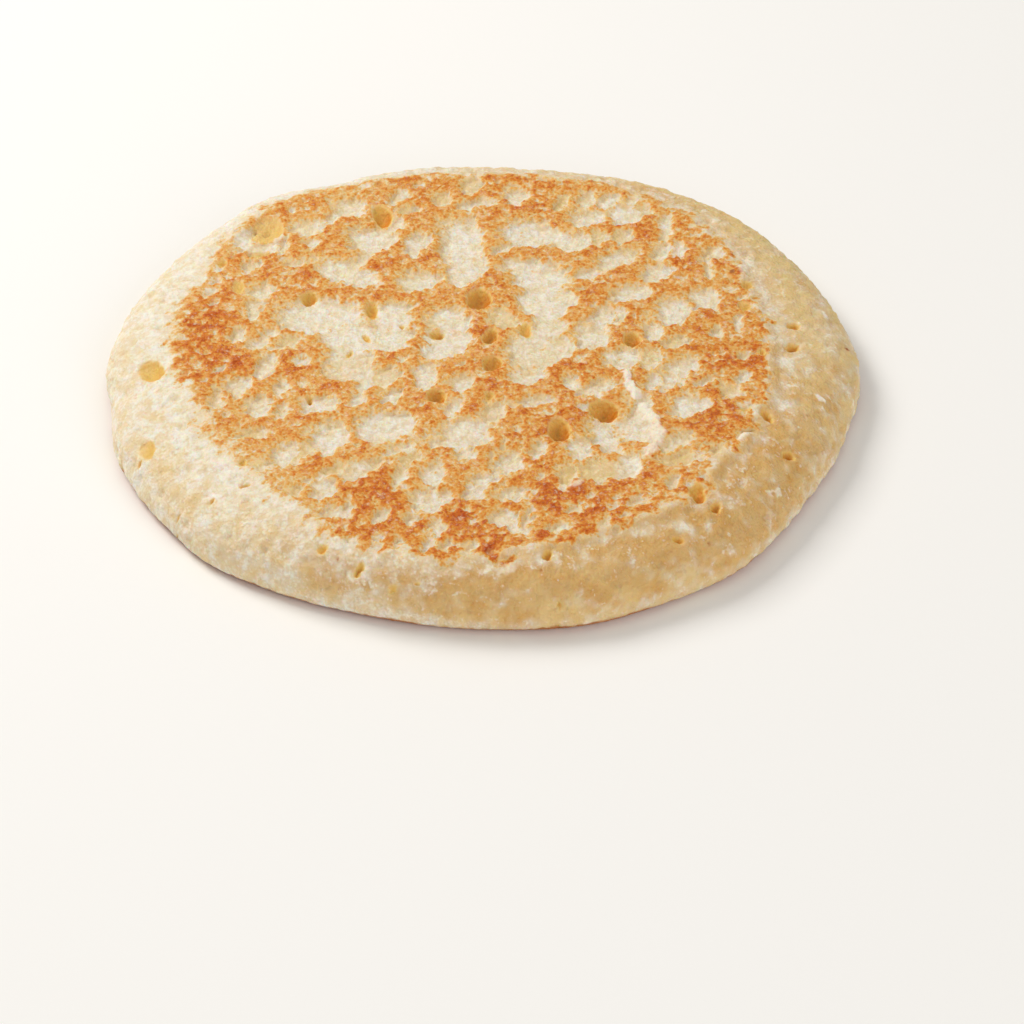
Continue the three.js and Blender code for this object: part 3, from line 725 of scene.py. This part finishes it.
heat_everywhere = np.zeros(len(base))
heat_everywhere[on_top] = heat
under = base[is_under]
freckles = smooth(0.35, 0.8, lumps(under, 3.2, 13)) + smooth(0.45, 0.9, lumps(under, 6, 14))
heat_everywhere[is_under] = (UNDER_HEAT + 0.45 * lumps(under, 16, 15)
                             + 0.35 * lumps(under, 2.5, 16) - 1.3 * freckles)
shape[is_under, 2] = FRECKLE_RISE * smooth(0.2, 0.9, freckles) * (ring[is_under] < SOLE_RIM)
print("at least golden:", round(100 * np.mean(heat_everywhere[is_under] > 0)), "% of the underside")

# %% [markdown]
# The side isn't one colour either: it is golden or yellow at the near and right, and stayed pale
# on the left. Part of that gold and yellow is the side's own colour and part is painted warm
# shade, most of all on the near side, which faces away from the light. Those tints are swells
# round the pancake, like its outline, broken up by noise. The eased far walls of the hollows carry
# a little of both, as painted shade, and the foot of the deeper steps gets a painted golden shadow
# line.

# %% Yellow and gold, partly painted shade
# where the side is more yellow or golden, partly its own colour and partly painted warm shade:
# direction, half width, amount
YELLOW_AND_SHADE_SWELLS = [(30, 42, 0.55), (80, 35, 0.6), (180, 40, 0.12), (-95, 45, 0.3)]
GOLD_AND_SHADE_SWELLS = [(-55, 45, 0.85), (-100, 25, 0.35), (-25, 30, 0.25), (28, 30, 0.15), (62, 36, 0.6)]

# the far walls' painted shade, kept on the face
wall_shade_on_face = wall_shade * smooth(-0.5, 1.5, in_face)

yellow_lumps = lumps(top, 4, 28)
rim_yellow_and_shade = 0.1 + swell_sum(top_angle, YELLOW_AND_SHADE_SWELLS) * (1 + 0.6 * yellow_lumps)
rim_yellow_and_shade += 0.2 * yellow_lumps
yellow_and_shade = yellow_and_shade * smooth(0, 0.6, hollow) + 0.35 * gaussian(in_face, 2.5) * (hollow < 0)
yellow_and_shade += np.clip(rim_yellow_and_shade, 0, 1) * smooth(-1, -7, in_face) + 0.45 * wall_shade_on_face

gold_and_shade = 0.02 + swell_sum(top_angle, GOLD_AND_SHADE_SWELLS)
gold_and_shade *= 1 + 0.5 * lumps(top, 5, 17) + 0.4 * lumps(top, 2, 18)
gold_and_shade *= (0.4 + 0.6 * smooth(1.8, 4.5, z)) * (0.5 + 0.5 * smooth(-1, -5, in_face))
# painted shadow: a golden line at the foot of the deeper steps below the face
gold_and_shade += 0.9 * swell_sum(top_angle, DEEPER_STEPS) * gaussian(in_face + 1.0, 0.8)
gold_and_shade = np.clip(gold_and_shade, 0, 1) * smooth(3, -1, in_face) + 0.7 * wall_shade_on_face
print("mean yellow", yellow_and_shade.mean().round(2), "and gold", gold_and_shade.mean().round(2))

# %% [markdown]
# Low on the side the crust of the underside ends in a thin wavering brown line, and a few burnt
# specks stuck to the batter. Above the line the crumb dried, more in some patches than in others.

# %% Line of the sole, burnt specks and dry crumb
SOLE_LINE = 1.05
SPECK_RADIUS = 0.28
# x, y, how burnt
SPECKS = [
    (36.7, 19.5, 2.4), (53.2, 6.1, 1.8), (7.6, -46.8, 0.8), (-20.4, -44.3, 0.8), (31, -39.6, 0.9),
    (46.1, -12.3, 0.7), (-44.6, 7.9, 0.7),
]

sole_height = SOLE_LINE + 0.35 * lumps(top, 11, 33) + 0.15 * lumps(top, 2.5, 12)
sole = smooth(0.3, -0.3, z - sole_height)
for px, py, burnt in SPECKS:
    sole += burnt * gaussian(np.hypot(x - px, y - py), SPECK_RADIUS)
dry = (0.35 * lumps(top, 4, 29) + 0.45 * lumps(top, 1.6, 32)) * smooth(0, -3, in_face)
dry += 0.25 * gaussian(in_face + 3.4, 2.4)
print(len(SPECKS), "specks, the line at", sole_height.min().round(1), "to",
      sole_height.max().round(1), "mm")

# %% [markdown]
# The wrapped discs become a mesh. What was worked out for each point goes along with it as
# named attributes, which a material can read, and a map called OFBake lays the upper disc and
# the lower disc flat side by side, so that paint on them is stretched evenly.

# %% Mesh, attributes and map
PIECE = "pancake_baked"
MAP_UPPER = (0.405, 0.595, 0.395)  # middle and radius of the upper disc in the map
MAP_LOWER = (0.825, 0.175, 0.165)
MAP_JOIN = 1.006  # how far out the triangles that join the discs end in the upper map

# the pit attribute is painted shade, in the pits and a little in the pores
above = {"yellow_and_shade": yellow_and_shade, "pit": np.maximum(pit_painted_shade, 0.2 * smooth(0.03, 0.2, pores)),
         "crest_white_and_highlight": crest_white_and_highlight, "gold_and_shade": gold_and_shade, "sole": sole,
         # crumb relief and dry patches; the layers paint shade in its creases and highlights on what
         # stands proud
         "crumb": np.clip(0.5 + 0.5 * crumb, 0, 1) + dry}
spread = {name: np.zeros(len(base)) for name in above}
for name, values in above.items():
    spread[name][on_top] = values
spread["browning"] = heat_everywhere

outline_x = outline_radius(turn_round) * np.cos(turn_round)
outline_y = outline_radius(turn_round) * np.sin(turn_round)
middle = np.array([outline_x.max() + outline_x.min(), outline_y.max() + outline_y.min(), 0]) / 2
print("middle of the outline, mm:", middle.round(2))

for vertex, place in zip(bm.verts, ((shape - middle) * MM).tolist()):
    vertex.co = Vector(place)

bake_map = bm.loops.layers.uv.new("OFBake")
flat_under = set(np.flatnonzero(is_under).tolist())
for face in bm.faces:
    lower = all(v.index in flat_under for v in face.verts)
    middle_u, middle_v, reach = MAP_LOWER if lower else MAP_UPPER
    for loop in face.loops:
        at = loop.vert.index
        out = reach * (ring[at] if lower or at not in flat_under else MAP_JOIN)
        loop[bake_map].uv = (middle_u + out * math.cos(angle[at]),
                             middle_v + out * math.sin(angle[at]))
    face.smooth = True

mesh = bpy.data.meshes.new(PIECE)
bm.to_mesh(mesh)
bm.free()
for name, values in spread.items():
    mesh.attributes.new(name, "FLOAT", "POINT").data.foreach_set("value", values.astype(np.float32))
pancake = bpy.data.objects.new(PIECE, mesh)
bpy.context.collection.objects.link(pancake)
print(PIECE, "has", len(mesh.polygons), "triangles")

# %% [markdown]
# Cooked batter is a matt, slightly see-through crumb: light goes a millimetre into it and comes
# out warmer, which is why shadows in it are yellow and never grey. Browned batter is denser
# and has a little fat on it, so it is darker, less see-through and faintly glossy. One
# material does both and moves between them by heat, because on the real thing there is no
# seam. Colours are given as they are seen, in sRGB hex, and turned to linear light here.

# %% Paint and nodes
def paint(hex_colour):
    channels = [int(hex_colour[k:k + 2], 16) / 255 for k in (1, 3, 5)]
    linear = [c / 12.92 if c <= 0.04045 else ((c + 0.055) / 1.055) ** 2.4 for c in channels]
    return (*linear, 1.0)


def add_node(tree, kind, output, inputs=(), **settings):
    """Adds a node and hands back one output; inputs are values or other nodes' outputs."""
    made = tree.nodes.new(kind)
    for name, value in settings.items():
        setattr(made, name, value)
    for name, value in dict(inputs).items():
        if isinstance(value, bpy.types.NodeSocket):
            tree.links.new(value, made.inputs[name])
        else:
            made.inputs[name].default_value = value
    return made.outputs[output] if len(made.outputs) else None


print("butter yellow in linear light:", [round(c, 3) for c in paint("#E9CC92")[:3]])

# %% [markdown]
# The noises come first, all measured in millimetres on the object's own coordinates. Grains of
# half a millimetre break up the edge of the lace, finer ones speckle it, and blotches of a few
# millimetres mottle the pale batter. The values that the mesh carries are read beside them.

# %% Noises in the batter
batter = bpy.data.materials.new("cooked_batter_griddled")
batter.use_nodes = True
tree = batter.node_tree
tree.nodes.clear()
place = add_node(tree, "ShaderNodeTexCoord", "Object")
noises = {}
for name, size, detail in (("fine", 0.32, 0.5), ("grain", 0.6, 0.0), ("frost", 0.55, 2.0),
                           ("mottle", 1.7, 2.0), ("blotch", 5.0, 2.0)):
    noises[name] = add_node(tree, "ShaderNodeTexNoise", "Fac", {
        "Vector": place, "Scale": 1 / (size * MM), "Detail": detail})
noises["dots"] = add_node(tree, "ShaderNodeTexVoronoi", "Distance", {
    "Vector": place, "Scale": 1 / (0.5 * MM)})
carried = {name: add_node(tree, "ShaderNodeAttribute", "Fac", attribute_name=name)
           for name in spread}
print("noises:", ", ".join(noises), "- carried by the mesh:", ", ".join(carried))

# %% [markdown]
# Heat turns into colour along one ramp, from cream through butter yellow and orange to a red
# brown. The grains shake the heat a little before it is read: the middle of each grain stands
# highest and so is browned most, and the creases between grains stay lighter. A second ramp
# paints the shade in the pits, from yellow at the rim to amber deep down, the warm shade of light
# that comes through the batter.

# %% Crust colours and painted pit shade
CRUST_FROM = -1.7  # heat at the first colour of the crust
CRUST_TO = 1.7
GRAIN_MIDDLE = 0.48  # what the grains add on average, taken off again
CRUST_COLOURS = [(0.0, "#F3E9DC"), (0.17, "#ECD8B2"), (0.31, "#E6BF7C"), (0.43, "#E2A654"),
                 (0.53, "#DB8A30"), (0.66, "#CE6E1E"), (0.81, "#BC5414"), (1.0, "#A03E10")]
# painted shade of the pits, from the rim to the darkest
PIT_SHADE_COLOURS = [(0.0, "#F2DAA4"), (0.62, "#E8BE66"), (1.0, "#DC8C2A")]

heat_seen = carried["browning"]
for name, share in (("grain", 0.9), ("fine", 0.9), ("dots", -1.0)):
    heat_seen = add_node(tree, "ShaderNodeMath", 0, {0: noises[name], 1: share, 2: heat_seen},
                         operation="MULTIPLY_ADD")
heat_seen = add_node(tree, "ShaderNodeMath", 0, {0: heat_seen, 1: GRAIN_MIDDLE},
                     operation="SUBTRACT")
crust_share = add_node(tree, "ShaderNodeMapRange", 0, {
    "Value": heat_seen, "From Min": CRUST_FROM, "From Max": CRUST_TO})
ramps = []
for share, colours in ((crust_share, CRUST_COLOURS), (carried["pit"], PIT_SHADE_COLOURS)):
    ramps.append(add_node(tree, "ShaderNodeValToRGB", "Color", {"Fac": share}))
    stops = ramps[-1].node.color_ramp.elements
    stops[0].color, stops[1].color = paint(colours[0][1]), paint(colours[-1][1])
    for position, colour in colours[1:-1]:
        stops.new(position).color = paint(colour)
crust, pit_shade_colour = ramps
print("colours of the crust:", len(CRUST_COLOURS), "and of the pits:", len(PIT_SHADE_COLOURS))

# %% [markdown]
# The rest is thin layers of colour over one another, listed from the lowest and laid in one go
# at the end. The lowest are the crumb's: soft yellow mottles on cream, gold and yellow tints, and
# in the gold and yellow some painted warm shade.

# %% Crumb colours
CREAM = "#EEE9DD"

gold_and_shade_share = carried["gold_and_shade"]
for name, share in (("blotch", 0.6), ("mottle", 0.4)):
    gold_and_shade_share = add_node(tree, "ShaderNodeMath", 0, {0: noises[name], 1: share, 2: gold_and_shade_share},
                          operation="MULTIPLY_ADD")
# what the layer follows, where it starts, where it is full, its most, its colour
layers = [
    (noises["mottle"], 0.40, 0.64, 0.55, paint("#E9D6A6")),
    # gold and yellow: the batter's own colour, with painted warm shade on the near side, the far walls
    # of hollows and the foot of the step
    (gold_and_shade_share, 0.45, 1.65, 1.0, paint("#D29E50")),
    (carried["yellow_and_shade"], 0.0, 1.0, 1.0, paint("#E6C88C")),
]
print("layers so far:", len(layers))

# %% [markdown]
# Frost is the whitish bloom of dry crumb, with painted highlights in it. It sits on what stands
# proud, in clusters, so it is made from the modelled crumb and the noises. The same sum, read the
# other way round, gives the darker creases, which are painted shade. Gold and yellow batter is
# moist and has less of it, and so do the places painted with warm shade.

# %% Frost and creases, with painted highlights and shade
frost_and_painted_light = carried["crumb"]
for source, share in ((noises["frost"], 1.6), (noises["mottle"], 0.8), (noises["fine"], 1.0),
                      (noises["dots"], -0.8), (carried["gold_and_shade"], -0.4), (carried["yellow_and_shade"], -0.2)):
    frost_and_painted_light = add_node(tree, "ShaderNodeMath", 0, {0: source, 1: share, 2: frost_and_painted_light},
                     operation="MULTIPLY_ADD")
layers += [
    # painted shade in the creases, then frost: white dry crumb with painted highlights
    (frost_and_painted_light, 2.0, 1.3, 0.4, paint("#E0C288")),
    (frost_and_painted_light, 1.7, 2.9, 0.7, paint("#F8F1E1")),
]
print("layers so far:", len(layers))

# %% [markdown]
# Over all of that goes the crust, wherever the heat begins, with pale glints painted on it as
# highlights where the frost's sum runs high. Then come the pits with their painted shade, the
# white curled crests, partly a painted highlight, the brown line where the lower crust ends, and
# the burnt specks. Each layer is two nodes: one turns what it follows into a share that eases in
# and out, and one mixes its colour over what lies below.

# %% The upper layers, and all of them laid
# painted highlights: pale glints on the crust for the shine of its fat
painted_glints = add_node(tree, "ShaderNodeMapRange", 0, {
    "Value": frost_and_painted_light, "From Min": 1.85, "From Max": 2.7, "To Max": 0.6},
    interpolation_type="SMOOTHSTEP")
crust = add_node(tree, "ShaderNodeMix", 2, {0: painted_glints, 6: crust, 7: paint("#F8E4C2")},
                 data_type="RGBA")
layers += [
    (heat_seen, -1.5, -0.4, 1.0, crust),
    (carried["pit"], 0.08, 0.5, 1.0, pit_shade_colour),
    (carried["crest_white_and_highlight"], 0.0, 1.0, 1.0, paint("#F8F0E0")),
    (carried["sole"], 0.0, 1.0, 1.0, paint("#B4703A")),
    (carried["sole"], 1.0, 2.2, 1.0, paint("#5A2A14")),
]
colour = paint(CREAM)
for source, low, high, most, over in layers:
    share = add_node(tree, "ShaderNodeMapRange", 0, {
        "Value": source, "From Min": low, "From Max": high, "To Max": most},
        interpolation_type="SMOOTHSTEP")
    colour = add_node(tree, "ShaderNodeMix", 2, {0: share, 6: colour, 7: over}, data_type="RGBA")
print("layers laid:", len(layers), "- nodes so far:", len(tree.nodes))

# %% [markdown]
# The finest relief is too small to model: rounded grains of half a millimetre with creases
# between them. It is strongest on the crust. The crust is also smoother, since fat fills it.

# %% Fine relief and shine
BUMP_HEIGHT = 0.17
LIGHT_DEPTH = 1.4  # for red light, which goes deepest

fine_relief = noises["fine"]
for name, share in (("dots", -1.0), ("grain", 1.0), ("frost", 0.6)):
    fine_relief = add_node(tree, "ShaderNodeMath", 0, {0: noises[name], 1: share, 2: fine_relief},
                           operation="MULTIPLY_ADD")
browned_share = add_node(tree, "ShaderNodeMapRange", 0, {
    "Value": heat_seen, "From Min": -0.4, "From Max": 0.6}, interpolation_type="SMOOTHSTEP")
bump_strength = add_node(tree, "ShaderNodeMapRange", 0, {
    "Value": browned_share, "To Min": 0.65, "To Max": 1.0})
bump = add_node(tree, "ShaderNodeBump", "Normal", {
    "Height": fine_relief, "Strength": bump_strength, "Distance": BUMP_HEIGHT * MM})
roughness = add_node(tree, "ShaderNodeMapRange", 0, {
    "Value": browned_share, "To Min": 0.55, "To Max": 0.42})
surface = add_node(tree, "ShaderNodeBsdfPrincipled", 0, {
    "Base Color": colour, "Roughness": roughness, "Normal": bump, "IOR": 1.45,
    "Subsurface Weight": 0.7, "Subsurface Scale": LIGHT_DEPTH * MM,
    "Subsurface Radius": (1.0, 0.55, 0.28), "Specular IOR Level": 0.24,
})
add_node(tree, "ShaderNodeOutputMaterial", 0, {"Surface": surface})

mesh.materials.append(batter)
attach(pancake, "root")
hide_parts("pancake")
print("material:", mesh.materials[0].name, "with", len(tree.nodes), "nodes")

# %% [markdown]
# The table is a plain pale sheet and the light a large soft window, high on the far left, so
# that the hollows show: their far walls go a little darker and their near walls catch the
# light. A weaker one in front and a pale sky all round fill the shadows. All of these are placed
# in metres.

# %% Table, windows and sky
TABLE_REACH = 3.0
PAPER_WHITE = "#FBFAF8"
SKY_STRENGTH = 0.44


def make_table():
    bm = bmesh.new()
    bmesh.ops.create_grid(bm, x_segments=1, y_segments=1, size=TABLE_REACH)
    floor_mesh = bpy.data.meshes.new("table")
    bm.to_mesh(floor_mesh)
    bm.free()
    table = bpy.data.objects.new("table", floor_mesh)
    bpy.context.collection.objects.link(table)
    material = bpy.data.materials.new("table_paper_white")
    material.use_nodes = True
    shader = material.node_tree.nodes["Principled BSDF"]
    shader.inputs["Base Color"].default_value = paint(PAPER_WHITE)
    shader.inputs["Roughness"].default_value = 0.9
    floor_mesh.materials.append(material)


def make_window(name, place, size, power, tint):
    data = bpy.data.lights.new(name, "AREA")
    data.size = size
    data.energy = power
    data.color = paint(tint)[:3]
    lamp = bpy.data.objects.new(name, data)
    lamp.location = place
    lamp.rotation_euler = (-Vector(place)).to_track_quat("-Z", "Y").to_euler()
    bpy.context.collection.objects.link(lamp)


make_table()
make_window("window", (-0.45, 0.32, 0.55), 0.35, 4.0, "#FFFBF4")
make_window("front_fill", (0.38, -0.62, 0.38), 0.6, 2.2, "#FFFDFA")
sky = bpy.data.worlds.new("pale_sky")
sky.use_nodes = True
sky.node_tree.nodes["Background"].inputs["Color"].default_value = paint(PAPER_WHITE)
sky.node_tree.nodes["Background"].inputs["Strength"].default_value = SKY_STRENGTH
bpy.context.scene.world = sky
bpy.context.scene.view_settings.view_transform = "Standard"

# %% [markdown]
# The relief must stay true to the solid it is laid over: the lace may stand a little proud of the
# solid and no more.

# %% [markdown]
# The finished piece rides on the body of the solid, stands in its place and carries one
# material.

# %% The finished piece
print("handing over", PIECE, "with", len(mesh.materials), "material")
